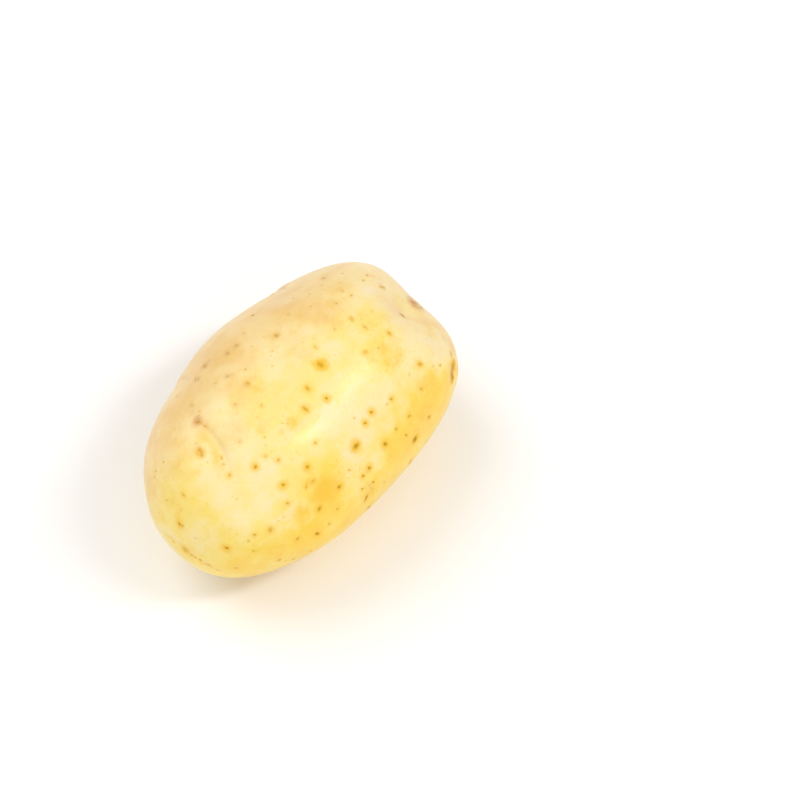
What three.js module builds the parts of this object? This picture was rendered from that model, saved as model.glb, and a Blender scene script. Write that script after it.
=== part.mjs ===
import * as THREE from "three";

// A washed, yellow-skinned table potato as it was dug: one solid tuber, lying on its flattest side.
// Lengths are in millimetres. +Z is up, and the tuber's long axis lies along X: the stem end, where it hung
// on its stolon, is at +X, and the apex, where most of its eyes sit, is at -X. The origin is on the surface
// that it rests on, under the middle of its bounding box.

// The plain body: a rounded oval with blunt ends.
const LENGTH = 104;
const WIDTH = 66;
const THICKNESS = 60;
const FULLNESS = 2.5; // 2 would be an ellipsoid, and more is blunter
const BLUNTER_STEM_END = 0.33; // added to the fullness at the stem end, and taken from it at the apex

// Broad lumps and hollows that make it this potato: where each points, how far it stands out, how wide it is.
const LUMPS = [
  { toward: [0.91, -0.14, 0.38], rise: -5.6, spreadDeg: 13 }, // hollow round the stem scar
  { toward: [0.76, -0.64, 0.11], rise: 1.3, spreadDeg: 15 }, // shoulder in front of it
  { toward: [0.57, 0.63, 0.53], rise: -1.6, spreadDeg: 14 }, // flat behind it
  { toward: [-0.03, 0.93, 0.36], rise: 1.3, spreadDeg: 18 }, // full back
  { toward: [-0.62, 0.78, 0.02], rise: -1.2, spreadDeg: 15 }, // flat flank near the apex
  { toward: [-0.92, 0.36, -0.08], rise: -1.2, spreadDeg: 12 }, // hollow beside the apex
  { toward: [-0.85, -0.2, -0.49], rise: 2.6, spreadDeg: 16 }, // chin under the apex
  { toward: [-0.39, -0.77, -0.5], rise: -1.0, spreadDeg: 18 }, // flat low on the front
  { toward: [0.5, 0.48, -0.72], rise: -1.5, spreadDeg: 15 }, // hollow low on the back
];

// The slow swell of a surface that grew unevenly: three waves across the body.
const SWELL_HEIGHT = 0.22;
const SWELL_WAVES = [
  { across: [0.8, 0.5, 0.3], length: 31, start: -2.1 },
  { across: [-0.3, 0.9, 0.4], length: 25, start: 1.2 },
  { across: [0.5, -0.2, 0.8], length: 21, start: 3.9 },
];

// Eyes follow a spiral from the stem end to the apex, two fifths of a turn apart. Each is a shallow hollow
// under a curved brow, with a bud in it. along is the distance from mid-length; around is measured from the
// top towards the front; nudge is how far an eye strays from the spiral, and tilt how far its brow is turned.
const FIRST_EYE_AROUND_DEG = 77;
const EYE_STEP_DEG = -144;
const EYES = [
  { along: 37, nudge: 0, tilt: 10, width: 11, depth: 1.0 },
  { along: 23, nudge: 0, tilt: -8, width: 13, depth: 0.8 },
  { along: 14, nudge: 4, tilt: 6, width: 15, depth: 1.3 },
  { along: 4, nudge: 6, tilt: 0, width: 6, depth: 0.4 }, // hardly formed
  { along: -4, nudge: -5, tilt: -10, width: 15, depth: 1.3 },
  { along: -9, nudge: 6, tilt: 12, width: 12, depth: 0.9 },
  { along: -20, nudge: 5, tilt: -6, width: 14, depth: 0.5 },
  { along: -27, nudge: 6, tilt: 8, width: 16, depth: 1.5 },
  { along: -34.5, nudge: -15, tilt: -18, width: 20, depth: 0.95 }, // the large one on top
  { along: -41, nudge: -12, tilt: -5, width: 12, depth: 0.4 },
  { along: -51, nudge: 34, tilt: 60, width: 9, depth: 0.5 }, // the apex bud
];

// An eye's own shape, in shares of its width and, for rises and depths, of its own depth.
const BROW_BACK = 0.24; // how far the brow's middle lies on the stem side of the bud
const BROW_BEND = 0.45; // how much its ends bend towards the apex
const BROW_REACH = 0.52; // how far it runs to either side
const BROW_STEEPNESS = 0.05; // the distance over which the skin drops
const HOLLOW_LENGTH = 0.42; // how far the hollow fades towards the apex
const RIDGE_RISE = 0.22;
const RIDGE_BACK = 0.13;
const RIDGE_SPREAD = 0.14;
const CREASE_DEPTH = 0.3;
const CREASE_SPREAD = 0.055;
const BUD_RISE = 0.5;
const BUD_LENGTH = 0.07;
const BUD_WIDTH = 0.1;
const EYE_LIMIT = 1.3; // no eye changes the skin further off than this

// The scar that the stolon left: a shallow round pit with a torn rim and a dry stub. Spreads are
// shares of its radius.
const SCAR_TOWARD = [0.965, -0.11, 0.235];
const SCAR_RADIUS = 2.2;
const PIT_DEPTH = 0.6;
const PIT_SPREAD = 0.8;
const RIM_RISE = 0.18;
const RIM_AT = 1.25;
const RIM_SPREAD = 0.35;
const RIM_TEARS = 5; // how many times the rim rises and falls round the pit
const TEAR_SHARE = 0.3;
const STUB_RISE = 0.5;
const STUB_SPREAD = 0.3;

// The small flat spot that it rests on.
const FLAT_DEPTH = 0.95; // how much of the underside the spot takes off
const FLAT_EDGE = 0.4; // how softly the spot runs out into the skin

// Facets: large on the plain skin, and growing finer towards an eye or the scar. Each reach holds two
// distances from its middle, in widths or radii of it: finest within the first, plain from the second.
const SKIN_FACET = 3.3;
const EYE_FACET = 1.15;
const EYE_FACET_REACH = [0.45, 0.95];
const SCAR_FACET = 0.9;
const SCAR_FACET_REACH = [1.6, 3.6];
const FIRST_FACETS = 5;
const SPLIT_PASSES = 7;
const SPLIT_OVER = 1.35; // an edge is split once it is this many facet sizes long

const SKIN_COLOUR = 0xe9cf86;

// How closely a point and a normal of the body are worked out.
const POINT_TRIES = 12;
const NEAREST_AXIS = 0.5;
const NORMAL_STEP = 0.02;
const SAME_POINT = 1e-5;

const unit = (xyz) => new THREE.Vector3(...xyz).normalize();
const bell = (x) => Math.exp(-x * x);

const lumps = LUMPS.map((lump) => ({
  ...lump,
  toward: unit(lump.toward),
  spread: THREE.MathUtils.degToRad(lump.spreadDeg),
}));
const waves = SWELL_WAVES.map((wave) => ({ ...wave, across: unit(wave.across) }));

// How far the plain body with its lumps and swell reaches from its centre in a direction.
function bodyReach(direction) {
  const fullness = FULLNESS + BLUNTER_STEM_END * direction.x;
  const end = Math.abs(direction.x) / (LENGTH / 2);
  const girth = Math.hypot(direction.y / (WIDTH / 2), direction.z / (THICKNESS / 2));
  let reach = (end ** fullness + girth ** fullness) ** (-1 / fullness);
  for (const lump of lumps) {
    reach += lump.rise * bell(direction.angleTo(lump.toward) / lump.spread);
  }
  const at = direction.clone().multiplyScalar(reach);
  for (const wave of waves) {
    reach += SWELL_HEIGHT * Math.sin((2 * Math.PI * at.dot(wave.across)) / wave.length + wave.start);
  }
  return reach;
}

const onBody = (direction) => direction.clone().multiplyScalar(bodyReach(direction));

// The point of the plain body at a distance along its axis and an angle round it, found by trying how far out
// from the axis it lies.
function bodyPoint(along, aroundDeg) {
  const around = THREE.MathUtils.degToRad(aroundDeg);
  let out = THICKNESS / 2;
  let point = null;
  for (let tries = 0; tries < POINT_TRIES; tries++) {
    const aim = new THREE.Vector3(along, -out * Math.sin(around), out * Math.cos(around));
    point = onBody(aim.normalize());
    out = Math.sqrt(Math.max(point.lengthSq() - along ** 2, NEAREST_AXIS ** 2));
  }
  return point;
}

// The outward normal of the plain body at one of its points, from two short steps along it.
function bodyNormal(point) {
  const direction = point.clone().normalize();
  const side = new THREE.Vector3(0, 0, 1).cross(direction).normalize();
  const rise = direction.clone().cross(side);
  const a = onBody(direction.clone().addScaledVector(side, NORMAL_STEP).normalize()).sub(point);
  const b = onBody(direction.clone().addScaledVector(rise, NORMAL_STEP).normalize()).sub(point);
  return a.cross(b).normalize();
}

// An eye in place: its middle, the way to the apex along the skin, and the way across.
const eyes = EYES.map((eye, k) => {
  const middle = bodyPoint(eye.along, FIRST_EYE_AROUND_DEG + k * EYE_STEP_DEG + eye.nudge);
  const normal = bodyNormal(middle);
  const apexward = new THREE.Vector3(-1, 0, 0).projectOnPlane(normal).normalize();
  apexward.applyAxisAngle(normal, THREE.MathUtils.degToRad(eye.tilt));
  return { ...eye, middle, apexward, across: normal.clone().cross(apexward) };
});

const scar = onBody(unit(SCAR_TOWARD));

// How far an eye lifts or sinks the skin at a point. The brow line is a parabola: past it the skin drops into
// a hollow that fades to the apex, behind it lies a low ridge, and a crease runs along it.
function eyeRelief(eye, point) {
  const from = point.clone().sub(eye.middle).divideScalar(eye.width);
  if (from.length() > EYE_LIMIT) return 0;
  const u = from.dot(eye.apexward);
  const v = from.dot(eye.across);
  const past = u + BROW_BACK - BROW_BEND * v * v;
  const drop = 1 / (1 + Math.exp(-past / BROW_STEEPNESS));
  const hollow = -drop * bell(past / HOLLOW_LENGTH);
  const ridge = RIDGE_RISE * bell((past + RIDGE_BACK) / RIDGE_SPREAD);
  const crease = -CREASE_DEPTH * bell(past / CREASE_SPREAD);
  const bud = BUD_RISE * bell(Math.hypot(u / BUD_LENGTH, v / BUD_WIDTH));
  return eye.depth * ((hollow + ridge + crease) * bell(v / BROW_REACH) + bud);
}

// The scar's pit, torn rim and stub, by the distance from its middle.
function scarRelief(point) {
  const from = point.clone().sub(scar);
  const r = from.length() / SCAR_RADIUS;
  const tear = 1 + TEAR_SHARE * Math.sin(RIM_TEARS * Math.atan2(from.y, from.z));
  const rim = RIM_RISE * tear * bell((r - RIM_AT) / RIM_SPREAD);
  return -PIT_DEPTH * bell(r / PIT_SPREAD) + rim + STUB_RISE * bell(r / STUB_SPREAD);
}

// The height after the underside is pressed flat: nothing stays below 0, and the spot's edge is rounded.
function pressed(height) {
  const h = height / FLAT_EDGE;
  if (h >= 1) return height;
  return h <= -1 ? 0 : (FLAT_EDGE * (h + 1) ** 2) / 4;
}

// The finished skin in a direction from the tuber's centre, set on the resting surface.
function skinPoint(direction) {
  const point = onBody(direction);
  let relief = scarRelief(point);
  for (const eye of eyes) relief += eyeRelief(eye, point);
  point.addScaledVector(direction, relief);
  point.z = pressed(point.z + THICKNESS / 2 - FLAT_DEPTH);
  return point;
}

// The facet size wanted at a point of the plain body.
function facetAt(point) {
  let size = facetNear(point.distanceTo(scar) / SCAR_RADIUS, SCAR_FACET, SCAR_FACET_REACH);
  for (const eye of eyes) {
    size = Math.min(size, facetNear(point.distanceTo(eye.middle) / eye.width, EYE_FACET, EYE_FACET_REACH));
  }
  return size;
}

function facetNear(away, finest, [near, far]) {
  const share = THREE.MathUtils.clamp((away - near) / (far - near), 0, 1);
  return THREE.MathUtils.lerp(finest, SKIN_FACET, share);
}

// The ball of directions, its edges split until no facet is longer than wanted there.
function skinFacets() {
  const ball = new THREE.IcosahedronGeometry(1, FIRST_FACETS).getAttribute("position");
  const directions = [];
  const seen = new Map(); // the ball lists a corner once a facet, so each is kept once
  const indexOf = (v) => {
    const key = [v.x, v.y, v.z].map((c) => Math.round(c / SAME_POINT)).join();
    if (!seen.has(key)) {
      seen.set(key, directions.length);
      directions.push(v.normalize());
    }
    return seen.get(key);
  };
  let faces = [];
  for (let i = 0; i < ball.count; i += 3) {
    faces.push([0, 1, 2].map((k) => indexOf(new THREE.Vector3().fromBufferAttribute(ball, i + k))));
  }
  for (let pass = 0; pass < SPLIT_PASSES; pass++) {
    const bodyPoints = directions.map(onBody);
    const middles = new Map();
    const middleOf = (a, b) => {
      const key = a < b ? `${a},${b}` : `${b},${a}`;
      if (!middles.has(key)) {
        const between = bodyPoints[a].clone().lerp(bodyPoints[b], 0.5);
        const long = bodyPoints[a].distanceTo(bodyPoints[b]) > SPLIT_OVER * facetAt(between);
        middles.set(key, long ? directions.push(between.normalize()) - 1 : -1);
      }
      return middles.get(key);
    };
    const middlesOf = ([a, b, c]) => [middleOf(a, b), middleOf(b, c), middleOf(c, a)];
    faces = faces.flatMap((face) => splitFace(face, middlesOf(face)));
  }
  return { directions, faces };
}

// A face cut at those of its edges that have a middle: into 1, 2, 3 or 4 faces.
function splitFace([a, b, c], [ab, bc, ca]) {
  const cuts = [ab, bc, ca].filter((m) => m >= 0).length;
  if (cuts === 0) return [[a, b, c]];
  if (cuts === 3) return [[a, ab, ca], [ab, b, bc], [ca, bc, c], [ab, bc, ca]];
  if (cuts === 1) {
    if (ab >= 0) return [[a, ab, c], [ab, b, c]];
    return splitFace([b, c, a], [bc, ca, ab]);
  }
  if (ca < 0) return [[ab, b, bc], [a, ab, bc], [a, bc, c]];
  return splitFace([b, c, a], [bc, ca, ab]);
}

function potatoGeometry() {
  const { directions, faces } = skinFacets();
  const points = directions.map(skinPoint);
  const geometry = new THREE.BufferGeometry();
  geometry.setAttribute("position", new THREE.Float32BufferAttribute(points.flatMap((p) => p.toArray()), 3));
  geometry.setIndex(faces.flat());
  geometry.computeBoundingBox();
  const middle = geometry.boundingBox.getCenter(new THREE.Vector3());
  geometry.translate(-middle.x, -middle.y, 0);
  geometry.computeVertexNormals();
  return geometry;
}

const skin = new THREE.MeshStandardMaterial({ color: SKIN_COLOUR, roughness: 0.55, metalness: 0 });
const potato = new THREE.Mesh(potatoGeometry(), skin);
potato.name = "potato";

const part = new THREE.Group();
part.add(potato);

export default part;
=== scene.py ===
import bpy
import numpy as np
from mathutils import Matrix, Vector


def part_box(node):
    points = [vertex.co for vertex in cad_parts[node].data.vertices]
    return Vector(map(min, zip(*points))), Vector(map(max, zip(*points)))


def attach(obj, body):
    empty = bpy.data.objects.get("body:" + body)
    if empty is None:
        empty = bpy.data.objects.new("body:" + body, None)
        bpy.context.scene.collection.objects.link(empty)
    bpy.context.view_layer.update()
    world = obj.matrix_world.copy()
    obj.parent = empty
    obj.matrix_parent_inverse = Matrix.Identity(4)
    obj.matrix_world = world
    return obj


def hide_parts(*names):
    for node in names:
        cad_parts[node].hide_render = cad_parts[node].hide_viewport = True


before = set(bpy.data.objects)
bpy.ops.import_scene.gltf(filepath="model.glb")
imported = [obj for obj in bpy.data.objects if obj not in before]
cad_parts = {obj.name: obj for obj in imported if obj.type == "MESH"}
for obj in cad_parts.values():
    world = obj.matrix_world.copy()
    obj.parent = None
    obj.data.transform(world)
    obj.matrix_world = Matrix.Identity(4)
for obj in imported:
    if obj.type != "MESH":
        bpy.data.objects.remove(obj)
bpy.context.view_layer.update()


# The tuber: one solid lump of pale flesh in its own thin yellow skin, washed and dry. It grew in the soil, so
# its ends are blunt, its sides uneven and its skin freckled with corky pores, and its eyes run round it in a
# spiral from the stem end to the apex. Lengths here are in millimetres from the middle of the tuber.
LENGTH = 104
WIDTH = 66
THICKNESS = 60
FULLNESS = 2.5
BLUNTER_STEM_END = 0.33

# Broad lumps and hollows: where each points, how far it stands out, and how wide it spreads in degrees.
LUMPS = (
    ((0.91, -0.14, 0.38), -5.6, 13),
    ((0.76, -0.64, 0.11), 1.3, 15),
    ((0.57, 0.63, 0.53), -1.6, 14),
    ((-0.03, 0.93, 0.36), 1.3, 18),
    ((-0.62, 0.78, 0.02), -1.2, 15),
    ((-0.92, 0.36, -0.08), -1.2, 12),
    ((-0.85, -0.2, -0.49), 2.6, 16),
    ((-0.39, -0.77, -0.5), -1.0, 18),
    ((0.5, 0.48, -0.72), -1.5, 15),
)

# Slow waves of uneven growth: the way each runs, its length, and where it starts.
SWELL_HEIGHT = 0.22
SWELL_WAVES = (
    ((0.8, 0.5, 0.3), 31, -2.1),
    ((-0.3, 0.9, 0.4), 25, 1.2),
    ((0.5, -0.2, 0.8), 21, 3.9),
)

# Eyes, two fifths of a turn apart on their spiral: distance from mid-length, angle off the spiral, turn of
# the brow, width, depth, and how brown the bark of crease and bud is.
FIRST_EYE_AROUND = 77
EYE_STEP = -144
EYES = (
    (37, 0, 10, 11, 1.0, 0.15),
    (23, 0, -8, 13, 0.8, 0.4),
    (14, 4, 6, 15, 1.3, 1.0),
    (4, 6, 0, 6, 0.4, 0.2),
    (-4, -5, -10, 15, 1.3, 1.0),
    (-9, 6, 12, 12, 0.9, 0.35),
    (-20, 5, -6, 14, 0.5, 0.3),
    (-27, 6, 8, 16, 1.5, 1.0),
    (-34.5, -15, -18, 20, 0.95, 0.22),
    (-41, -12, -5, 12, 0.4, 0.15),
    (-51, 34, 60, 9, 0.5, 0.3),
)

# An eye's own shape, in shares of its width, with its rises and depths in shares of its own depth. No eye
# changes the skin past its limit.
BROW_BACK = 0.24
BROW_BEND = 0.45
BROW_REACH = 0.52
BROW_STEEPNESS = 0.05
HOLLOW_LENGTH = 0.42
RIDGE_RISE = 0.22
RIDGE_BACK = 0.13
RIDGE_SPREAD = 0.14
CREASE_DEPTH = 0.3
CREASE_SPREAD = 0.055
BUD_RISE = 0.5
BUD_LENGTH = 0.07
BUD_WIDTH = 0.1
EYE_LIMIT = 1.3
PAST_LIMIT = 9.0

# The scar that the stolon left: a pit with a torn rim and a dry stub, with spreads in shares of its radius.
SCAR_TOWARD = (0.965, -0.11, 0.235)
SCAR_RADIUS = 2.2
PIT_DEPTH = 0.6
PIT_SPREAD = 0.8
RIM_RISE = 0.18
RIM_AT = 1.25
RIM_SPREAD = 0.35
RIM_TEARS = 5
TEAR_SHARE = 0.3
STUB_RISE = 0.5
STUB_SPREAD = 0.3

# The small flat spot that it rests on: how much it takes off, and how softly it runs out into the skin.
FLAT_DEPTH = 0.95
FLAT_EDGE = 0.4

# How closely a point and a normal of the body are worked out.
POINT_TRIES = 12
NEAREST_AXIS = 0.5
NORMAL_STEP = 0.02


def unit(vectors):
    """Vectors divided by their own lengths."""
    vectors = np.asarray(vectors, float)
    return vectors / np.linalg.norm(vectors, axis=-1, keepdims=True)


def bell(x):
    """A smooth hump: 1 at 0 and falling away as e to the minus x squared."""
    return np.exp(-np.square(x))


def on_body(directions):
    """Points of the plain body in the given directions. A point's reach is that of a rounded oval, the
    superellipsoid whose length and girth shares, raised to the fullness, add up to 1; the broad lumps are
    bells of the angle from where they point, and the swell is a sine of the distance along each wave."""
    fullness = FULLNESS + BLUNTER_STEM_END * directions[:, 0]
    end = np.abs(directions[:, 0]) / (LENGTH / 2)
    girth = np.hypot(directions[:, 1] / (WIDTH / 2), directions[:, 2] / (THICKNESS / 2))
    reach = (end**fullness + girth**fullness) ** (-1 / fullness)
    for toward, rise, spread in LUMPS:
        angle = np.degrees(np.arccos(np.clip(directions @ unit(toward), -1, 1)))
        reach = reach + rise * bell(angle / spread)
    at = directions * reach[:, None]
    for across, length, start in SWELL_WAVES:
        reach = reach + SWELL_HEIGHT * np.sin(2 * np.pi * (at @ unit(across)) / length + start)
    return directions * reach[:, None]


def body_normals(points):
    """Outward normals of the plain body: the cross product of two short steps along it."""
    directions = unit(points)
    side = unit(np.cross((0, 0, 1), directions))
    rise = np.cross(directions, side)
    a = on_body(unit(directions + NORMAL_STEP * side)) - points
    b = on_body(unit(directions + NORMAL_STEP * rise)) - points
    return unit(np.cross(a, b))


def body_point(along, around):
    """The point of the plain body at a distance from mid-length and an angle from the top to the front. Each
    try aims at that distance along and as far out from the long axis as the try before came out."""
    out = THICKNESS / 2
    for _ in range(POINT_TRIES):
        aim = unit([[along, -out * np.sin(around), out * np.cos(around)]])
        point = on_body(aim)
        out = np.sqrt(max(np.sum(point**2) - along**2, NEAREST_AXIS**2))
    return point[0]


def eye_frames():
    """Each eye's middle, the way to the apex along the skin, the way across, its width, depth and bark."""
    frames = []
    for k, (along, stray, tilt, width, depth, bark) in enumerate(EYES):
        middle = body_point(along, np.radians(FIRST_EYE_AROUND + k * EYE_STEP + stray))
        normal = body_normals(middle[None])[0]
        apexward = unit(np.array([-1, 0, 0]) + normal[0] * normal)
        across = np.cross(normal, apexward)
        turn = np.radians(tilt)
        apexward, across = (
            apexward * np.cos(turn) + across * np.sin(turn),
            across * np.cos(turn) - apexward * np.sin(turn),
        )
        frames.append((middle, apexward, across, width, depth, bark))
    return frames


eyes = eye_frames()
scar = on_body(unit([SCAR_TOWARD]))[0]


def eye_shape(eye, points):
    """An eye's own coordinates at points, in shares of its width: u to the apex, v across, and how far past
    the brow line, which is a parabola that bends to the apex at its ends."""
    middle, apexward, across, width = eye[:4]
    off = (points - middle) / width
    near = np.linalg.norm(off, axis=1) < EYE_LIMIT
    u = np.where(near, off @ apexward, PAST_LIMIT)
    v = off @ across
    return u, v, u + BROW_BACK - BROW_BEND * v**2


def relief(points):
    """Height of the eyes and the stem scar over the plain body. An eye is a hollow that drops quickly past
    its brow line and fades slowly to the apex, a low ridge behind the line, a crease along it, and a bud; the
    scar is a pit, a torn ring and a stub."""
    height = np.zeros(len(points))
    for eye in eyes:
        u, v, past = eye_shape(eye, points)
        drop = 1 / (1 + np.exp(-np.clip(past / BROW_STEEPNESS, -30, 30)))
        hollow = -drop * bell(past / HOLLOW_LENGTH)
        ridge = RIDGE_RISE * bell((past + RIDGE_BACK) / RIDGE_SPREAD)
        crease = -CREASE_DEPTH * bell(past / CREASE_SPREAD)
        bud = BUD_RISE * bell(np.hypot(u / BUD_LENGTH, v / BUD_WIDTH))
        height += eye[4] * ((hollow + ridge + crease) * bell(v / BROW_REACH) + bud)
    off = points - scar
    r = np.linalg.norm(off, axis=1) / SCAR_RADIUS
    tear = 1 + TEAR_SHARE * np.sin(RIM_TEARS * np.arctan2(off[:, 1], off[:, 2]))
    rim = RIM_RISE * tear * bell((r - RIM_AT) / RIM_SPREAD)
    return height - PIT_DEPTH * bell(r / PIT_SPREAD) + rim + STUB_RISE * bell(r / STUB_SPREAD)


def pressed(height):
    """Heights over the floor once the underside is flat: 0 below it, and a parabola over the soft edge."""
    h = height / FLAT_EDGE
    edge = FLAT_EDGE * (h + 1) ** 2 / 4
    return np.where(h >= 1, height, np.where(h <= -1, 0, edge))


def skin(directions):
    """Points of the skin, eyes and scar and all, before the underside is pressed flat."""
    body = on_body(directions)
    return body + directions * relief(body)[:, None]


# The skin's grid: the six sides of a box blown up to the tuber, with this many cells along, across and up.
CELLS = (165, 110, 110)


def box_grid(cells):
    """Lattice points on the six sides of a box, each once, and the quads between them. A side is a grid of
    two of the three lattice counts with the third at its start or its end."""
    corners = []
    for axis in range(3):
        a, b = (axis + 1) % 3, (axis + 2) % 3
        i, j = np.meshgrid(np.arange(cells[a]), np.arange(cells[b]), indexing="ij")
        for end in (0, 1):
            quad = np.zeros((i.size, 4, 3), int)
            steps = ((0, 0), (1, 0), (1, 1), (0, 1)) if end else ((0, 0), (0, 1), (1, 1), (1, 0))
            for c, (da, db) in enumerate(steps):
                quad[:, c, axis] = end * cells[axis]
                quad[:, c, a] = i.ravel() + da
                quad[:, c, b] = j.ravel() + db
            corners.append(quad)
    corners = np.concatenate(corners)
    lattice, index = np.unique(corners.reshape(-1, 3), axis=0, return_inverse=True)
    return lattice, index.reshape(-1, 4)


lattice, quads = box_grid(CELLS)
spread = np.tan((2 * lattice / np.array(CELLS) - 1) * np.pi / 4)
directions = unit(spread * np.array([LENGTH, WIDTH, THICKNESS]))

# The eye's view of the tuber in the photograph: where the camera stands, and the pixel of its middle.
AZIMUTH = np.radians(-50)
ELEVATION = np.radians(58)
LENS = 100
SENSOR = 36
FRAME_PIXELS = 800
PIXELS_PER_MM = 3.515
MIDDLE_PIXEL = np.array([295.0, 419.5])

toward_camera = np.array([
    np.sin(AZIMUTH) * np.cos(ELEVATION),
    -np.cos(AZIMUTH) * np.cos(ELEVATION),
    np.sin(ELEVATION),
])
level = np.array([np.cos(AZIMUTH), np.sin(AZIMUTH), 0])
upward = np.cross(toward_camera, level)
focal_pixels = LENS / SENSOR * FRAME_PIXELS
camera_place = toward_camera * focal_pixels / PIXELS_PER_MM
swing = (FRAME_PIXELS / 2 - MIDDLE_PIXEL) / focal_pixels
camera_ahead = unit(-toward_camera + swing[0] * level - swing[1] * upward)
camera_right = unit(level - camera_ahead * (level @ camera_ahead))
camera_up = np.cross(camera_right, camera_ahead)

# How a sight line is followed: its steps in millimetres, how many, and how often the last one is halved.
SIGHT_STEP = 0.5
SIGHT_STEPS = 200
SIGHT_HALVINGS = 16


def seen_at(pixels):
    """Skin points under pixels of the photograph: each sight line is followed until it first meets the
    skin, in even steps and then by halving."""
    across = (pixels[:, :1] - FRAME_PIXELS / 2) / focal_pixels
    down = (pixels[:, 1:] - FRAME_PIXELS / 2) / focal_pixels
    lines = unit(camera_ahead + across * camera_right - down * camera_up)

    def inside(far):
        at = camera_place + lines * far[:, None]
        return np.linalg.norm(at, axis=1) < np.linalg.norm(skin(unit(at)), axis=1)

    middle = np.linalg.norm(camera_place)
    outer = np.full(len(lines), middle - LENGTH / 2)
    for _ in range(SIGHT_STEPS):
        outer = np.where(inside(outer + SIGHT_STEP), outer, outer + SIGHT_STEP)
    outer = np.minimum(outer, middle)
    inner = outer + SIGHT_STEP
    for _ in range(SIGHT_HALVINGS):
        half = (outer + inner) / 2
        hit = inside(half)
        inner = np.where(hit, half, inner)
        outer = np.where(hit, outer, half)
    return camera_place + lines * inner[:, None]


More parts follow.
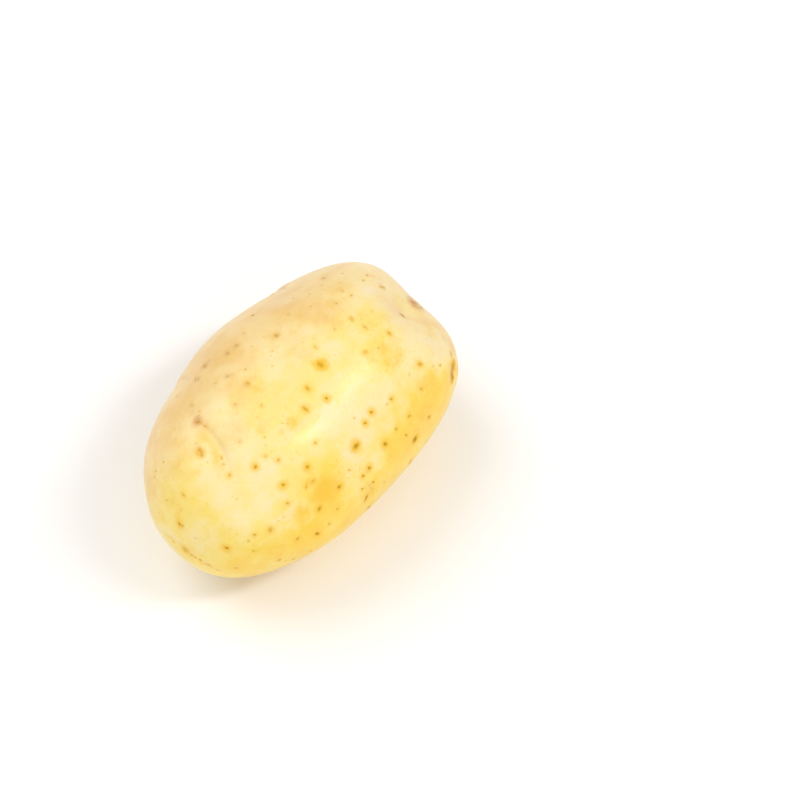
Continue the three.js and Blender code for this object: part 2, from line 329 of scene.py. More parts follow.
# Pores and small marks as they are seen in the photograph: pixel across, pixel down, half length and half
# width in millimetres, the slant of the long way in degrees from level, and how dark it is, from 0 to 1.
ROUND = 0
PORES_SEEN = (
    # stem end
    (401, 315, 1.1, 0.7, -55, 0.85),
    (388, 333, 1.1, 0.8, -50, 0.5),
    (364, 327, 1.3, 0.6, -35, 0.4),
    (350, 318, 1.1, 0.8, -30, 0.4),
    (364, 352, 1.0, 0.9, ROUND, 0.4),
    (377, 348, 0.4, 0.4, ROUND, 0.5),
    (419, 364, 1.0, 0.9, ROUND, 0.6),
    (439, 365, 0.5, 0.35, 80, 0.6),
    (420, 389, 0.6, 0.6, ROUND, 0.5),
    (446, 334, 1.1, 0.55, -55, 0.8),
    (414, 303, 1.4, 0.8, -45, 1.0),
    (420, 307, 0.9, 0.5, -45, 0.9),
    (430, 318, 0.9, 0.5, -50, 0.8),
    (432, 366, 0.5, 0.4, ROUND, 0.3),
    (450, 354, 1.3, 0.4, 85, 0.5),
    (453, 367, 2.4, 1.1, 90, 1.0),
    (453, 377, 2.0, 1.5, 90, 1.0),
    (450, 381, 0.9, 0.3, 75, 0.5),
    (408, 374, 0.9, 0.3, 80, 0.25),
    (405, 364, 0.5, 0.3, 60, 0.2),
    (396, 361, 1.5, 0.5, -55, 0.1),
    # upper middle
    (319, 364, 1.3, 1.0, -45, 0.85),
    (314, 347, 0.8, 0.35, -50, 0.45),
    (306, 388, 1.2, 0.8, -45, 0.55),
    (325, 398, 0.7, 0.5, -60, 0.9),
    (304, 409, 1.4, 0.7, -35, 0.65),
    (275, 335, 1.0, 0.8, ROUND, 0.6),
    (246, 383, 0.9, 0.7, -60, 0.6),
    (244, 369, 0.4, 0.4, ROUND, 0.5),
    (260, 405, 0.6, 0.4, 80, 0.4),
    (226, 376, 0.5, 0.4, ROUND, 0.5),
    (251, 315, 0.6, 0.5, ROUND, 0.75),
    (351, 321, 0.5, 0.4, ROUND, 0.4),
    (333, 329, 0.5, 0.4, ROUND, 0.4),
    (234, 404, 0.5, 0.4, ROUND, 0.5),
    (271, 366, 0.5, 0.4, ROUND, 0.3),
    (271, 351, 0.5, 0.4, ROUND, 0.3),
    # upper left
    (203, 366, 1.1, 0.9, ROUND, 0.55),
    (194, 379, 0.9, 0.3, 88, 0.55),
    (197, 379, 0.8, 0.25, 84, 0.5),
    (226, 353, 0.7, 0.5, ROUND, 0.55),
    (235, 345, 0.6, 0.5, ROUND, 0.5),
    (243, 333, 0.7, 0.5, ROUND, 0.3),
    (251, 346, 0.5, 0.4, ROUND, 0.3),
    (208, 360, 0.5, 0.4, ROUND, 0.35),
    (214, 383, 0.6, 0.4, ROUND, 0.3),
    (190, 405, 0.9, 0.7, ROUND, 0.25),
    (198, 411, 0.5, 0.4, ROUND, 0.35),
    (175, 396, 0.6, 0.4, ROUND, 0.3),
    # the large eye and the left end
    (196, 422, 1.1, 0.7, -20, 0.85),
    (203, 426, 1.0, 0.35, -35, 0.5),
    (220, 458, 0.6, 0.35, -70, 0.6),
    (222, 464, 0.5, 0.3, ROUND, 0.5),
    (228, 475, 0.7, 0.5, 80, 0.5),
    (198, 450, 0.7, 0.5, -60, 0.8),
    (200, 455, 0.7, 0.35, 80, 0.8),
    (194, 443, 0.4, 0.3, ROUND, 0.4),
    (206, 462, 0.4, 0.35, ROUND, 0.4),
    (162, 462, 0.4, 0.35, ROUND, 0.5),
    (154, 471, 0.4, 0.35, ROUND, 0.5),
    (153, 477, 0.5, 0.3, 80, 0.4),
    (165, 500, 0.5, 0.35, ROUND, 0.4),
    (147, 500, 0.5, 0.3, 80, 0.4),
    (182, 495, 0.9, 0.35, -45, 0.5),
    (180, 509, 0.6, 0.4, ROUND, 0.15),
    # right of the middle
    (390, 399, 0.6, 0.5, ROUND, 0.75),
    (370, 412, 0.7, 0.6, ROUND, 0.8),
    (364, 423, 0.65, 0.55, ROUND, 0.85),
    (408, 416, 0.7, 0.45, 40, 0.7),
    (428, 417, 0.8, 0.6, 50, 0.75),
    (395, 429, 0.6, 0.5, ROUND, 0.7),
    (405, 435, 0.5, 0.5, ROUND, 0.7),
    (414, 439, 1.5, 0.9, 55, 1.0),
    (355, 446, 1.6, 0.9, 60, 0.85),
    (384, 444, 0.85, 0.75, ROUND, 1.0),
    (368, 468, 0.7, 0.6, 50, 0.9),
    (362, 476, 0.6, 0.5, ROUND, 0.85),
    (372, 482, 0.5, 0.4, ROUND, 0.9),
    (386, 404, 0.5, 0.4, ROUND, 0.4),
    (353, 418, 0.5, 0.4, ROUND, 0.4),
    (343, 406, 0.5, 0.4, ROUND, 0.2),
    (383, 482, 0.5, 0.4, ROUND, 0.5),
    (409, 462, 1.0, 0.6, 50, 1.0),
    # middle and low
    (338, 487, 0.9, 0.6, 60, 0.9),
    (314, 443, 0.6, 0.5, ROUND, 0.55),
    (306, 467, 0.7, 0.6, ROUND, 0.8),
    (277, 460, 0.6, 0.6, ROUND, 0.6),
    (264, 456, 0.6, 0.6, ROUND, 0.4),
    (254, 467, 0.8, 0.6, 80, 0.7),
    (282, 485, 0.7, 0.6, ROUND, 0.8),
    (312, 481, 0.9, 0.5, 40, 0.45),
    (305, 487, 0.8, 0.4, 75, 0.55),
    (286, 503, 0.6, 0.5, ROUND, 0.55),
    (318, 509, 1.1, 0.6, 60, 0.75),
    (263, 437, 0.5, 0.4, ROUND, 0.4),
    (238, 442, 0.5, 0.4, ROUND, 0.4),
    (295, 452, 0.5, 0.4, ROUND, 0.2),
    (281, 423, 0.5, 0.4, ROUND, 0.35),
    (286, 423, 0.5, 0.4, ROUND, 0.3),
    (235, 499, 0.5, 0.4, ROUND, 0.25),
    (282, 517, 0.5, 0.4, ROUND, 0.25),
    (348, 470, 0.5, 0.4, ROUND, 0.5),
    (361, 489, 0.5, 0.4, ROUND, 0.8),
    (365, 498, 1.6, 0.6, 85, 1.0),
    (368, 507, 0.9, 0.6, ROUND, 1.0),
    (336, 509, 0.5, 0.4, ROUND, 0.5),
    # underside of the view
    (269, 530, 0.9, 0.9, ROUND, 0.55),
    (253, 535, 0.6, 0.5, ROUND, 0.6),
    (247, 541, 0.5, 0.4, ROUND, 0.5),
    (235, 534, 0.5, 0.4, ROUND, 0.2),
    (296, 539, 0.8, 0.4, 45, 0.7),
    (316, 534, 0.8, 0.65, ROUND, 1.0),
    (328, 524, 0.6, 0.4, 40, 0.6),
    (324, 546, 0.7, 0.5, 40, 1.0),
    (278, 560, 0.8, 0.5, 40, 0.7),
    (292, 559, 0.8, 0.4, 40, 0.6),
    (284, 561, 0.5, 0.3, 30, 0.5),
    (309, 551, 0.6, 0.4, 30, 0.6),
    (252, 551, 0.5, 0.4, ROUND, 0.5),
    (225, 548, 0.8, 0.5, -20, 0.95),
    (178, 524, 0.8, 0.5, -50, 0.8),
    (181, 526, 0.5, 0.4, ROUND, 0.5),
    (194, 538, 0.5, 0.4, ROUND, 0.25),
    (172, 542, 0.5, 0.4, ROUND, 0.3),
    (184, 550, 1.2, 0.8, -40, 0.5),
    (190, 555, 0.6, 0.3, -35, 0.6),
    (194, 557, 0.5, 0.3, -35, 0.6),
    (199, 560, 0.7, 0.35, -35, 0.7),
    (208, 565, 1.4, 0.35, -28, 0.6),
    (216, 570, 1.3, 0.3, -28, 0.5),
    (235, 568, 0.7, 0.4, -10, 0.6),
    # upper edge
    (381, 287, 1.2, 0.5, -5, 0.6),
    (362, 280, 0.5, 0.4, ROUND, 0.5),
    (350, 295, 0.5, 0.4, ROUND, 0.5),
    (335, 303, 0.5, 0.4, ROUND, 0.5),
    (322, 278, 0.9, 0.35, 5, 0.6),
    (327, 267, 0.5, 0.4, ROUND, 0.5),
    (373, 273, 0.7, 0.4, -10, 0.6),
    (275, 291, 0.8, 0.4, 40, 0.7),
    (285, 287, 0.6, 0.3, 30, 0.4),
    (269, 297, 0.6, 0.4, 40, 0.4),
    (292, 298, 0.5, 0.4, ROUND, 0.35),
    (287, 314, 0.5, 0.4, ROUND, 0.35),
    (308, 294, 0.5, 0.4, ROUND, 0.35),
    (309, 306, 0.5, 0.4, ROUND, 0.35),
    (300, 287, 0.5, 0.3, 20, 0.35),
    (355, 266, 0.5, 0.3, 10, 0.4),
    (341, 273, 0.5, 0.3, 10, 0.35),
    (366, 275, 0.5, 0.4, ROUND, 0.6),
    (320, 285, 0.5, 0.3, 10, 0.35),
    (341, 291, 0.5, 0.4, ROUND, 0.35),
    (371, 311, 0.6, 0.4, -20, 0.2),
)

# The same kind of pore over the rest of the skin, in an even scatter: how many are tried for and how far
# apart they are, the share of a straight look at which they stop, and the spread of their sizes and shades.
SCATTER_SEED = 11
SCATTER_COUNT = 300
SCATTER_SPACING = 3.6
SCATTER_TRIES = 12
SCATTER_STOPS_AT = 0.08
SMALLEST_PORE = 0.1
PORE_SIZE_SHAPE = 6
PORE_SIZE_SCALE = 0.1
NARROWEST_PORE = 0.5
PALEST_PORE = 0.3


def middles_seen(rows):
    """Skin points under the pixels with which a table's rows start."""
    return seen_at(np.array([row[:2] for row in rows]))


def even_scatter(count, spacing, seed, taken):
    """Body points drawn at random and kept only where they are clear of all those kept before."""
    random = np.random.default_rng(seed)
    kept = list(taken)
    fresh = []
    for point in on_body(unit(random.normal(size=(count * SCATTER_TRIES, 3)))):
        if len(fresh) < count and np.min(np.linalg.norm(np.array(kept) - point, axis=1)) > spacing:
            kept.append(point)
            fresh.append(point)
    return np.array(fresh)


def out_of_view(middles, stops_at):
    """Whether body points face the camera by less than a share of a straight look, which is a cosine."""
    return body_normals(middles) @ toward_camera < stops_at


random = np.random.default_rng(SCATTER_SEED)
seen_middles = middles_seen(PORES_SEEN)
seen_slants = np.radians([[row[4]] for row in PORES_SEEN])
scattered = even_scatter(SCATTER_COUNT, SCATTER_SPACING, SCATTER_SEED, seen_middles)
scattered = scattered[out_of_view(scattered, SCATTER_STOPS_AT)]
scattered_length = random.gamma(PORE_SIZE_SHAPE, PORE_SIZE_SCALE, len(scattered)) + SMALLEST_PORE
scattered_width = scattered_length * random.uniform(NARROWEST_PORE, 1, len(scattered))
pore_middles = np.concatenate([seen_middles, skin(unit(scattered))])
pore_sizes = np.concatenate([
    [row[2:4] for row in PORES_SEEN],
    np.stack([scattered_length, scattered_width], 1),
])
pore_darks = np.concatenate([
    [row[5] for row in PORES_SEEN],
    random.uniform(PALEST_PORE, 1, len(scattered)),
])
pore_normals = body_normals(on_body(unit(pore_middles)))

# A pore is drawn on the skin along a line, and its long and short ways lie across that line. For the seen
# ones it is the line of sight, turned towards the skin's normal near the rim, so that none is drawn out too
# far.
TURNED_BELOW = 0.6
TURN = 2.0

seen_normals, other_normals = np.split(pore_normals, [len(seen_middles)])
turn = TURN * np.clip(TURNED_BELOW - seen_normals @ toward_camera, 0, 1)
drawn_along = np.concatenate([unit(toward_camera + turn[:, None] * seen_normals), other_normals])
pore_ways = np.concatenate([
    np.cos(seen_slants) * camera_right + np.sin(seen_slants) * camera_up,
    random.normal(size=(len(scattered), 3)),
])
pore_ways = unit(pore_ways - drawn_along * np.sum(pore_ways * drawn_along, axis=1, keepdims=True))
pore_sides = np.cross(drawn_along, pore_ways)

# A pore's own coordinates are kept on the skin, so that its edge stays sharp between grid points. They reach
# a margin past the pore, and pores whose reaches meet are put in the second of two layers. Round a pore is a
# halo, fainter where the pore is small, and in it is a pit, which ends a few half lengths away.
PORE_MARGIN = 0.75
CLEAR_OF_PORES = (0, 0, 9)
HALO_SPREAD = 1.25
HALO_PER_SIZE = 1.5
PIT_ENDS = 4

surface = skin(directions)
reaches = pore_sizes[:, 0] + PORE_MARGIN
layer_of = np.zeros(len(pore_middles), int)
for k in range(1, len(pore_middles)):
    gap = np.linalg.norm(pore_middles[:k] - pore_middles[k], axis=1) - reaches[:k] - reaches[k]
    layer_of[k] = int(np.any((gap < 0) & (layer_of[:k] == 0)))

layers = [np.tile(np.array(CLEAR_OF_PORES, float), (len(surface), 1)) for _ in range(2)]
darks = [np.zeros(len(surface)) for _ in range(2)]
halo = np.zeros(len(surface))
pit = np.zeros(len(surface))
for k, middle in enumerate(pore_middles):
    off = surface - middle
    away = np.linalg.norm(off, axis=1)
    local = np.stack([off @ pore_ways[k], off @ pore_sides[k]], 1) / pore_sizes[k]
    near = away < reaches[k]
    layers[layer_of[k]][near, :2] = local[near]
    layers[layer_of[k]][near, 2] = 0
    darks[layer_of[k]][near] = pore_darks[k]
    size = pore_sizes[k].mean()
    halo_strength = min(size * HALO_PER_SIZE, 1) * pore_darks[k]
    halo = np.maximum(halo, halo_strength * bell(away / (size + HALO_SPREAD)))
    sunk = pore_darks[k] * bell(np.linalg.norm(local, axis=1))
    pit = np.maximum(pit, sunk * (away < PIT_ENDS * pore_sizes[k, 0]))


def lay_spot(field, middle, radius, strength):
    """Raise a field of the skin to a soft round spot: a bell of how many radii a point is from its middle."""
    away = np.linalg.norm(surface - middle, axis=1)
    np.maximum(field, strength * bell(away / radius), out=field)


def lay_seen_spots(field, rows):
    """Lay the spots of a table whose rows give a pixel across and down, a radius and a strength."""
    for middle, (_, _, radius, strength) in zip(middles_seen(rows), rows):
        lay_spot(field, middle, radius, strength)


def lay_hidden_spots(field, middles, stops_at, radii, strengths, seed):
    """Lay a spot at each middle that is out of view, with a radius and a strength drawn from their ranges."""
    random = np.random.default_rng(seed)
    for middle, hidden in zip(middles, out_of_view(middles, stops_at)):
        radius = random.uniform(*radii)
        strength = random.uniform(*strengths)
        if hidden:
            lay_spot(field, middle, radius, strength)


# Amber patches, where the skin is thicker. Those seen in the photograph: pixel across and down, radius and
# strength. The rest are an even scatter out of view.
PATCHES_SEEN = (
    (386, 356, 7.0, 0.55),
    (325, 490, 4.6, 1.0),
    (308, 484, 3.0, 0.5),
    (291, 424, 2.6, 0.7),
    (280, 430, 2.4, 0.4),
    (300, 514, 3.4, 0.5),
    (277, 555, 4.0, 0.4),
    (425, 384, 3.8, 0.6),
    (424, 414, 4.2, 0.7),
    (416, 436, 3.4, 0.7),
    (396, 360, 2.4, 0.5),
    (200, 433, 2.8, 0.9),
    (258, 387, 3.0, 0.45),
    (258, 428, 3.2, 0.4),
    (236, 350, 3.6, 0.45),
    (273, 342, 3.0, 0.5),
    (232, 375, 2.6, 0.3),
    (370, 470, 3.0, 0.15),
    (188, 552, 3.2, 0.7),
    (368, 318, 4.6, 0.4),
    (177, 516, 2.4, 0.4),
    (320, 366, 2.8, 0.6),
)
PATCH_SEED = 5
PATCH_COUNT = 60
PATCH_SPACING = 11
PATCHES_STOP_AT = 0.15
PATCH_RADII = (2.5, 5.5)
PATCH_STRENGTHS = (0.3, 0.9)

gold = np.zeros(len(surface))
lay_seen_spots(gold, PATCHES_SEEN)
patch_middles = even_scatter(PATCH_COUNT, PATCH_SPACING, PATCH_SEED, middles_seen(PATCHES_SEEN))
lay_hidden_spots(gold, patch_middles, PATCHES_STOP_AT, PATCH_RADII, PATCH_STRENGTHS, PATCH_SEED)

# Bark: the brown corky skin in the creases of the eyes, on their buds, over the stem scar, and in smudges.
# Those seen in the photograph: pixel across and down, radius and strength. Past a crease the skin is golden.
CREASE_BARK = 0.95
CREASE_BARK_SPREAD = 0.05
BUD_BARK = 0.9
SCAR_BARK = 1.4
SCAR_BARK_SPREAD = 1.1
CREASE_GOLD = 0.5
CREASE_GOLD_AT = 0.1
CREASE_GOLD_SPREAD = 0.13
CREASE_GOLD_REACH = 0.5
SMUDGES_SEEN = (
    (177, 395, 1.8, 0.25),
    (191, 411, 1.5, 0.22),
    (233, 405, 1.6, 0.28),
    (245, 384, 1.5, 0.30),
    (230, 375, 1.3, 0.28),
    (260, 406, 1.3, 0.20),
    (239, 441, 1.6, 0.18),
    (215, 383, 1.6, 0.15),
    (204, 364, 1.7, 0.40),
    (196, 379, 1.7, 0.32),
    (235, 346, 1.6, 0.32),
    (226, 353, 1.4, 0.32),
    (190, 405, 1.3, 0.20),
    (226, 376, 1.5, 0.25),
    (196, 421, 1.7, 0.50),
    (199, 452, 1.7, 0.45),
    (184, 549, 1.9, 0.35),
    (278, 557, 1.6, 0.22),
    (311, 483, 1.6, 0.22),
    (320, 365, 1.7, 0.30),
    (368, 508, 1.3, 0.35),
    (409, 462, 1.4, 0.40),
    (452, 375, 2.2, 0.90),
    (415, 303, 1.8, 0.70),
    (275, 291, 1.5, 0.35),
)
SMUDGE_SEED = 8
SMUDGE_COUNT = 110
SMUDGE_SPACING = 7
SMUDGES_STOP_AT = 0.1
SMUDGE_RADII = (0.8, 2.2)
SMUDGE_STRENGTHS = (0.1, 0.45)

bark = np.zeros(len(surface))
for eye in eyes:
    u, v, past = eye_shape(eye, surface)
    crease = CREASE_BARK * bell(past / CREASE_BARK_SPREAD) * bell(v / BROW_REACH)
    bud = BUD_BARK * bell(np.hypot(u / BUD_LENGTH, v / BUD_WIDTH))
    bark = np.maximum(bark, eye[5] * (crease + bud))
    golden = CREASE_GOLD * bell((past - CREASE_GOLD_AT) / CREASE_GOLD_SPREAD) * bell(v / CREASE_GOLD_REACH)
    gold = np.maximum(gold, golden)
lay_spot(bark, scar, SCAR_BARK_SPREAD * SCAR_RADIUS, SCAR_BARK)
lay_seen_spots(bark, SMUDGES_SEEN)
smudge_middles = even_scatter(SMUDGE_COUNT, SMUDGE_SPACING, SMUDGE_SEED, [eye[0] for eye in eyes])
lay_hidden_spots(bark, smudge_middles, SMUDGES_STOP_AT, SMUDGE_RADII, SMUDGE_STRENGTHS, SMUDGE_SEED)

# Blush and shade: at the back and at the stem end the skin is a darker pinkish beige, partly its own tone and
# partly painted shade on the sides turned away from the camera. Ripe and shade: in front and at the apex it is
# a deep yellow, partly its own tone and partly painted shade and yellow bounce light on the lower side, save
# where it is pale or carries a painted highlight. Each range is of how straight the skin faces that way, and
# the tables give a pixel across and down, a radius and a strength.
BLUSH_AND_SHADE_TOWARD = (0, 0.93, 0.37)
BLUSH_AND_SHADE_BACK = (-0.09, 0.82)
BLUSH_AND_SHADE_BACK_CURVE = 1.3
BLUSH_AND_SHADE_STEM_END = (0.15, 0.9)
RIPE_AND_SHADE_FRONT = (0.05, 0.65)
RIPE_AND_SHADE_APEX = (0.3, 0.7)
RIPE_AND_SHADE_APEX_SHARE = 0.6
# Darker pinkish beige spots, partly painted shade.
BLUSH_AND_SHADE_SEEN = (
    (238, 338, 9.0, 1.0),
    (196, 374, 8.0, 0.9),
    (228, 424, 10.0, 0.7),
    (300, 310, 10.0, 0.7),
    (168, 440, 8.0, 0.8),
)
# Pale spots, partly pale skin and partly a painted highlight along the broad sheen down the middle.
PALE_AND_HIGHLIGHT_SEEN = (
    (362, 458, 8.0, 0.6),
    (430, 344, 4.5, 1.0),
    (352, 388, 7.0, 0.8),
    (325, 412, 6.0, 0.5),
    (300, 438, 7.0, 0.4),
    (275, 500, 9.0, 0.4),
    (364, 290, 5.0, 0.8),
)
# Deep yellow spots at the stem end, partly painted shade.
RIPE_AND_SHADE_SEEN = (
    (405, 310, 9.0, 0.75),
    (382, 350, 8.0, 0.55),
    (430, 326, 5.0, 0.6),
)


def risen(value, low, high):
    """A straight rise from 0 at the low value to 1 at the high one."""
    return np.clip((value - low) / (high - low), 0, 1)


facing = body_normals(on_body(directions))
backward = facing @ unit(BLUSH_AND_SHADE_TOWARD)
stemward = facing[:, 0]
# Painted shade, in part: the darker pinkish beige of the back and the stem end.
blush_and_shade = np.maximum(risen(backward, *BLUSH_AND_SHADE_BACK) ** BLUSH_AND_SHADE_BACK_CURVE, risen(stemward, *BLUSH_AND_SHADE_STEM_END))
# Painted shade and yellow bounce light, in part: the deep yellow of the lower front and the apex.
ripe_and_shade = np.maximum(risen(-backward, *RIPE_AND_SHADE_FRONT), RIPE_AND_SHADE_APEX_SHARE * risen(-stemward, *RIPE_AND_SHADE_APEX))
pale_and_highlight = np.zeros(len(surface))
lay_seen_spots(blush_and_shade, BLUSH_AND_SHADE_SEEN)
lay_seen_spots(pale_and_highlight, PALE_AND_HIGHLIGHT_SEEN)
lay_seen_spots(ripe_and_shade, RIPE_AND_SHADE_SEEN)
ripe_and_shade = ripe_and_shade * (1 - pale_and_highlight)

# The mesh: the pores are sunk, the underside is pressed flat, and the whole is laid in the solid's own box.
PORE_PIT = 0.12

points = surface - directions * (PORE_PIT * pit)[:, None]
points[:, 2] = pressed(points[:, 2] + THICKNESS / 2 - FLAT_DEPTH)
cad_low, cad_high = (np.array(corner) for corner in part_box("potato"))
own_low, own_high = points.min(0), points.max(0)
points = cad_low + (points - own_low) * (cad_high - cad_low) / (own_high - own_low)

tuber_mesh = bpy.data.meshes.new("tuber")
tuber_mesh.from_pydata(points, [], quads)
tuber_mesh.polygons.foreach_set("use_smooth", np.ones(len(quads), bool))
fields = {
    "halo": halo,
    "gold": gold,
    "bark": bark,
    "blush_and_shade": blush_and_shade,
    "ripe_and_shade": ripe_and_shade,
    "pale_and_highlight": pale_and_highlight,
    "dark pores": darks[0],
    "dark close pores": darks[1],
}
for name, field in fields.items():
    attribute = tuber_mesh.attributes.new(name, "FLOAT", "POINT")
    attribute.data.foreach_set("value", field.astype(np.float32))
for name, layer in zip(("pores", "close pores"), layers):
    attribute = tuber_mesh.attributes.new(name, "FLOAT_VECTOR", "POINT")
    attribute.data.foreach_set("vector", layer.astype(np.float32).ravel())
tuber_mesh.validate()
tuber = bpy.data.objects.new("tuber", tuber_mesh)
bpy.context.scene.collection.objects.link(tuber)

# The skin's colours. The deep yellow and the two beiges are partly painted shade, and the pale one also serves
# as a painted highlight.
CREAM = (0.96, 0.78, 0.40, 1)
YELLOW = (0.96, 0.745, 0.225, 1)
SHADED_DEEP_YELLOW = (0.95, 0.69, 0.07, 1)
AMBER = (0.94, 0.55, 0.03, 1)
SHADED_PINK_BEIGE = (0.88, 0.55, 0.18, 1)
SHADED_PALE_BEIGE = (0.94, 0.67, 0.28, 1)
PALE_AND_HIGHLIGHT = (0.95, 0.78, 0.48, 1)
PORE_GOLD = (0.93, 0.57, 0.05, 1)
PORE_MAUVE = (0.82, 0.53, 0.23, 1)
PORE_TAN = (0.80, 0.47, 0.02, 1)
PORE_BROWN = (0.43, 0.19, 0.01, 1)
BARK_BROWN = (0.50, 0.165, 0.02, 1)
RUSSET = (0.82, 0.50, 0.11, 1)


class Nodes:
    """A material's nodes, added and joined one after another. Places on it are in metres."""

    def __init__(self, name):
        self.material = bpy.data.materials.new(name)
        self.material.use_nodes = True
        self.tree = self.material.node_tree
        self.tree.nodes.clear()

    def add(self, kind, inputs=None, **settings):
        """A new node, each of whose inputs is joined to another node or set to a value."""
        node = self.tree.nodes.new(kind)
        for key, value in settings.items():
            setattr(node, key, value)
        for key, value in (inputs or {}).items():
            if isinstance(value, bpy.types.NodeSocket):
                self.tree.links.new(value, node.inputs[key])
            else:
                node.inputs[key].default_value = value
        return node

    def math(self, operation, a, b, c=0.0, clamp=False):
        """A sum on two or three values, such as a times b plus c."""
        return self.add("ShaderNodeMath", {0: a, 1: b, 2: c}, operation=operation, use_clamp=clamp).outputs[0]

    def mix(self, share, a, b):
        """Colour a with a share of it turned to colour b."""
        return self.add("ShaderNodeMix", {0: share, 6: a, 7: b}, data_type="RGBA").outputs[2]

    def ramp(self, value, low, high, start=0.0, end=1.0):
        """A smooth S from start at the low value to end at the high one."""
        inputs = {"Value": value, "From Min": low, "From Max": high, "To Min": start, "To Max": end}
        return self.add("ShaderNodeMapRange", inputs, interpolation_type="SMOOTHSTEP").outputs[0]

    def field(self, name, output="Fac"):
        """One of the fields that the mesh carries."""
        return self.add("ShaderNodeAttribute", attribute_name=name).outputs[output]

    def noise(self, scale, detail=2.0, roughness=0.5, place=None):
        """Cloudy noise about one half, with its scale in clouds to the metre."""
        inputs = {"Vector": place or self.place, "Scale": scale, "Detail": detail, "Roughness": roughness}
        return self.add("ShaderNodeTexNoise", inputs).outputs["Fac"]

    def drawn_out(self, share):
        """Places whose X is cut to a share, which draws noise out along the tuber."""
        return self.add("ShaderNodeMapping", {"Vector": self.place, "Scale": (share, 1.0, 1.0)}).outputs[0]


def ground(n):
    """Cream and yellow in drifts and streaks, deeper yellow to the lower front and pinkish beige to the back,
    both partly painted shade.
    """
    drift = n.math("MULTIPLY", n.noise(38, 3), 0.5)
    drift = n.math("MULTIPLY_ADD", n.noise(120, 4, 0.6), 0.3, drift)
    drift = n.math("MULTIPLY_ADD", n.noise(260, 5, 0.65, n.drawn_out(0.35)), 0.2, drift)
    colour = n.mix(n.ramp(drift, 0.43, 0.585), CREAM, YELLOW)
    clouds = n.math("SUBTRACT", n.noise(150, 4, 0.6), 0.5)
    # Deep yellow, partly painted shade and yellow bounce light, on the lower front and at the apex.
    ripe_and_shade_edge = n.math("MULTIPLY_ADD", clouds, 1.1, n.field("ripe_and_shade"))
    colour = n.mix(n.ramp(ripe_and_shade_edge, 0.2, 1.1), colour, SHADED_DEEP_YELLOW)
    colour = n.mix(n.ramp(ripe_and_shade_edge, 0.65, 1.3, 0, 0.8), colour, AMBER)
    # Pinkish beige, partly painted shade, on the back and at the stem end.
    blush_and_shade_edge = n.math("MULTIPLY_ADD", clouds, 1.2, n.field("blush_and_shade"))
    blush_and_shade_colour = n.mix(n.ramp(drift, 0.42, 0.59), SHADED_PALE_BEIGE, SHADED_PINK_BEIGE)
    return n.mix(n.ramp(blush_and_shade_edge, 0.25, 1.05, 0, 0.9), colour, blush_and_shade_colour)


def flakes_and_patches(n, colour, torn, blush_and_shade_share):
    """Pale flakes of thin skin and of painted highlight and amber patches of thick skin, both with torn edges,
    and a russet mottle.
    """
    # Pale, partly a painted highlight along the middle of the tuber.
    pale_and_highlight_edge = n.math("MULTIPLY_ADD", n.field("pale_and_highlight"), 0.3, n.noise(320, 6, 0.7, n.drawn_out(0.35)))
    colour = n.mix(n.ramp(pale_and_highlight_edge, 0.60, 0.86, 0, 0.85), colour, PALE_AND_HIGHLIGHT)
    gold_edge = n.math("MULTIPLY_ADD", torn, 1.3, n.field("gold"))
    kept_of_patches = n.ramp(blush_and_shade_share, 0, 1, 1, 0.3)
    patch_share = n.math("MULTIPLY", n.ramp(gold_edge, 0.1, 0.85, 0, 0.85), kept_of_patches)
    colour = n.mix(patch_share, colour, AMBER)
    return n.mix(n.ramp(n.noise(800, 6, 0.7), 0.54, 0.76, 0, 0.34), colour, RUSSET)


def specks_and_grain(n, colour, grain):
    """Fine specks, on one cell in three of a loose scatter, and the light and dark of the grain."""
    flecks = n.add("ShaderNodeTexVoronoi", {"Vector": n.place, "Scale": 420})
    fleck = n.ramp(flecks.outputs["Distance"], 0.20, 0.04)
    chance = n.ramp(n.add("ShaderNodeSeparateColor", {0: flecks.outputs["Color"]}).outputs[0], 0.62, 0.70)
    fleck = n.math("MULTIPLY", fleck, chance)
    colour = n.mix(n.math("MULTIPLY", fleck, 0.5), colour, RUSSET)
    colour = n.mix(n.ramp(grain, 0.5, 0.75, 0, 0.16), colour, RUSSET)
    return n.mix(n.ramp(grain, 0.5, 0.25, 0, 0.2), colour, PALE_AND_HIGHLIGHT)


def pore_marks(n, colour, torn, halo_colour):
    """Pores: a golden blotch, a tan ring and a brown mouth. With the colour comes the share of ring."""
    halo_edge = n.math("MULTIPLY_ADD", torn, 0.5, n.field("halo"))
    colour = n.mix(n.ramp(halo_edge, 0.12, 0.75, 0, 0.85), colour, halo_colour)
    wobble = n.add("ShaderNodeTexNoise", {"Vector": n.place, "Scale": 1000, "Detail": 3}).outputs["Color"]
    wobble = n.add("ShaderNodeVectorMath", {0: wobble, 1: (0.5, 0.5, 0.5)}, operation="SUBTRACT").outputs[0]
    rings = 0.0
    for name in ("pores", "close pores"):
        place = n.field(name, "Vector")
        own = n.add("ShaderNodeVectorMath", {0: wobble, 1: place}, operation="ADD").outputs[0]
        away = n.add("ShaderNodeVectorMath", {0: own}, operation="LENGTH").outputs["Value"]
        dark = n.field("dark " + name)
        ring = n.math("MULTIPLY", n.ramp(away, 1.45, 0.4), dark)
        mouth = n.math("MULTIPLY", n.ramp(away, 0.85, 0.1), n.math("POWER", dark, 1.5))
        colour = n.mix(n.math("MULTIPLY", ring, 0.85), colour, PORE_TAN)
        colour = n.mix(mouth, colour, PORE_BROWN)
        rings = n.math("MAXIMUM", rings, ring)
    return colour, rings


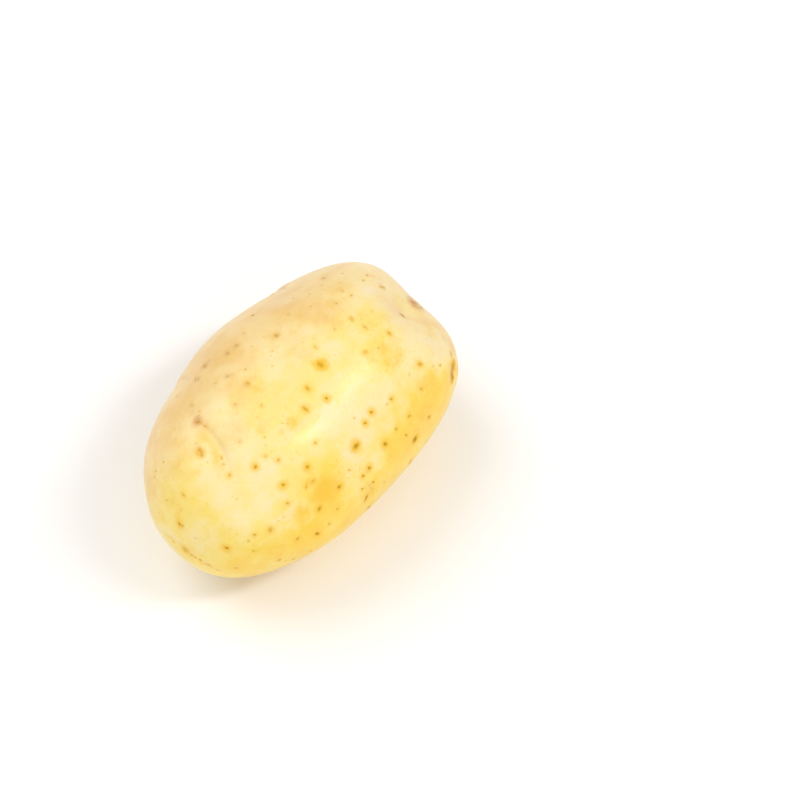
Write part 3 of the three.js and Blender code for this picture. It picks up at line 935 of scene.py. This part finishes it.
def bark_marks(n, colour, halo_colour):
    """Bark, broken up into flakes. With the colour comes the share of bark."""
    broken = n.ramp(n.noise(700, 5, 0.7), 0.35, 0.65, 0.25, 1)
    bark_share = n.math("MULTIPLY", n.ramp(n.field("bark"), 0.05, 0.9), broken)
    colour = n.mix(n.ramp(n.field("bark"), 0.02, 0.4, 0, 0.5), colour, halo_colour)
    colour = n.mix(n.math("MULTIPLY", bark_share, 0.85), colour, BARK_BROWN)
    return colour, bark_share


def fine_relief(n, grain, rings, bark_share):
    """The finest roughness: grain, blotches and streaks, with the pores sunk and the bark standing out."""
    height = n.math("MULTIPLY_ADD", grain, 0.25, n.math("MULTIPLY", n.noise(650, 6, 0.65), 0.5))
    height = n.math("MULTIPLY_ADD", n.noise(500, 4, 0.6, n.drawn_out(0.25)), 0.5, height)
    height = n.math("MULTIPLY_ADD", rings, -0.2, height)
    height = n.math("MULTIPLY_ADD", bark_share, 0.5, height)
    return n.add("ShaderNodeBump", {"Height": height, "Strength": 0.35, "Distance": 0.0004}).outputs[0]


def potato_skin():
    """The skin's material, laid down from the widest colours to the smallest marks. Thin skin has a waxy
    shine, and the cork of pores and bark is rough and dull."""
    n = Nodes("potato skin")
    n.place = n.add("ShaderNodeTexCoord").outputs["Object"]
    torn = n.math("SUBTRACT", n.noise(280, 5, 0.65), 0.5)
    grain = n.noise(1700, 4, 0.7)
    # Where the beige is, which is partly painted shade, the pore halos are mauve.
    blush_and_shade_share = n.ramp(n.field("blush_and_shade"), 0.25, 0.8)
    halo_colour = n.mix(blush_and_shade_share, PORE_GOLD, PORE_MAUVE)

    colour = ground(n)
    colour = flakes_and_patches(n, colour, torn, blush_and_shade_share)
    colour = specks_and_grain(n, colour, grain)
    colour, rings = pore_marks(n, colour, torn, halo_colour)
    colour, bark_share = bark_marks(n, colour, halo_colour)

    cork = n.math("ADD", rings, bark_share)
    rough = n.ramp(n.noise(180, 5, 0.6), 0.3, 0.7, 0.42, 0.54)
    skin_shader = n.add("ShaderNodeBsdfPrincipled", {
        "Base Color": colour,
        "Roughness": n.math("MULTIPLY_ADD", cork, 0.25, rough, clamp=True),
        "Normal": fine_relief(n, grain, rings, bark_share),
        "IOR": 1.45,
        "Specular IOR Level": 0.12,
        "Coat Weight": n.ramp(cork, 0.0, 0.8, 0.75, 0.15),
        "Coat Roughness": 0.3,
        "Subsurface Weight": 0.18,
        "Subsurface Radius": (1.0, 0.6, 0.25),
        "Subsurface Scale": 0.0012,
        "Sheen Weight": 0.04,
        "Sheen Roughness": 0.5,
        "Sheen Tint": (1, 0.85, 0.75, 1),
    })
    n.add("ShaderNodeOutputMaterial", {"Surface": skin_shader.outputs[0]})
    return n.material


tuber_mesh.materials.append(potato_skin())
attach(tuber, "root")
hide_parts("potato")


# The stage: a plain white table that runs out to white in a bright white room, a window at the upper left, a
# soft box over the camera, a lamp beside it that draws the broad sheen along the tuber, and white cards at the
# right and below the camera, which looks down on the tuber from the photograph's angle.
METRES = 0.001
TABLE_HALF = 3.0
TABLE_WHITE = (0.99, 0.99, 0.99, 1)
ROOM_WHITE = (1, 0.99, 0.98, 1)
ROOM_BRIGHTNESS = 0.48
LAMP_FAR = 1.2
tuber_middle = np.array([0, 0, (THICKNESS / 2 - FLAT_DEPTH) * METRES])

table_mesh = bpy.data.meshes.new("table")
table_corners = [(x * TABLE_HALF, y * TABLE_HALF, 0) for x, y in ((-1, -1), (1, -1), (1, 1), (-1, 1))]
table_mesh.from_pydata(table_corners, [], [(0, 1, 2, 3)])
table_nodes = Nodes("white table")
table_shader = table_nodes.add("ShaderNodeBsdfPrincipled", {"Base Color": TABLE_WHITE, "Roughness": 0.8})
table_nodes.add("ShaderNodeOutputMaterial", {"Surface": table_shader.outputs[0]})
table_mesh.materials.append(table_nodes.material)
table = bpy.data.objects.new("table", table_mesh)
bpy.context.scene.collection.objects.link(table)


def soft_light(name, way, run, size, power):
    """An oval soft light that shines at the tuber from LAMP_FAR away the given way. Its long side runs as run
    says, and both are in camera directions: right, up and towards the camera."""
    lamp = bpy.data.lights.new(name, "AREA")
    lamp.shape = "ELLIPSE"
    lamp.size, lamp.size_y = size
    lamp.energy = power
    shining = bpy.data.objects.new(name, lamp)
    seen_axes = np.array([level, upward, toward_camera])
    place = unit(np.array(way) @ seen_axes)
    longways = np.array(run) @ seen_axes
    longways = unit(longways - place * (longways @ place))
    turn = Matrix([longways, np.cross(place, longways), place]).transposed().to_4x4()
    shining.matrix_world = Matrix.Translation(Vector(tuber_middle + place * LAMP_FAR)) @ turn
    bpy.context.scene.collection.objects.link(shining)


soft_light("window", (-0.6, 0.75, 0.7), (1, 0, 0), (0.9, 0.9), 5.2)
soft_light("soft box over the camera", (0, 0.1, 1), (1, 0, 0), (1.6, 1.6), 2.0)
soft_light("lamp beside the camera", (0.58, 0.33, 0.75), (0.4, 0.07, -0.3), (0.6, 0.2), 3.8)
soft_light("white card at the right", (0.9, 0.5, 0.35), (0, 1, 0), (1.2, 0.8), 1.0)
soft_light("white card below the camera", (0.1, -0.6, 0.8), (1, 0, 0), (1.2, 0.6), 2.2)

room = bpy.data.worlds.new("white room")
room.use_nodes = True
room.node_tree.nodes["Background"].inputs["Color"].default_value = ROOM_WHITE
room.node_tree.nodes["Background"].inputs["Strength"].default_value = ROOM_BRIGHTNESS
bpy.context.scene.world = room
bpy.context.scene.view_settings.view_transform = "Standard"

camera_data = bpy.data.cameras.new("camera")
camera_data.lens = LENS
camera_data.sensor_width = SENSOR
camera_data.clip_start = 0.01
camera = bpy.data.objects.new("camera", camera_data)
turn = Matrix([camera_right, camera_up, -camera_ahead]).transposed().to_4x4()
camera.matrix_world = Matrix.Translation(Vector(tuber_middle + camera_place * METRES)) @ turn
bpy.context.scene.collection.objects.link(camera)
bpy.context.scene.camera = camera
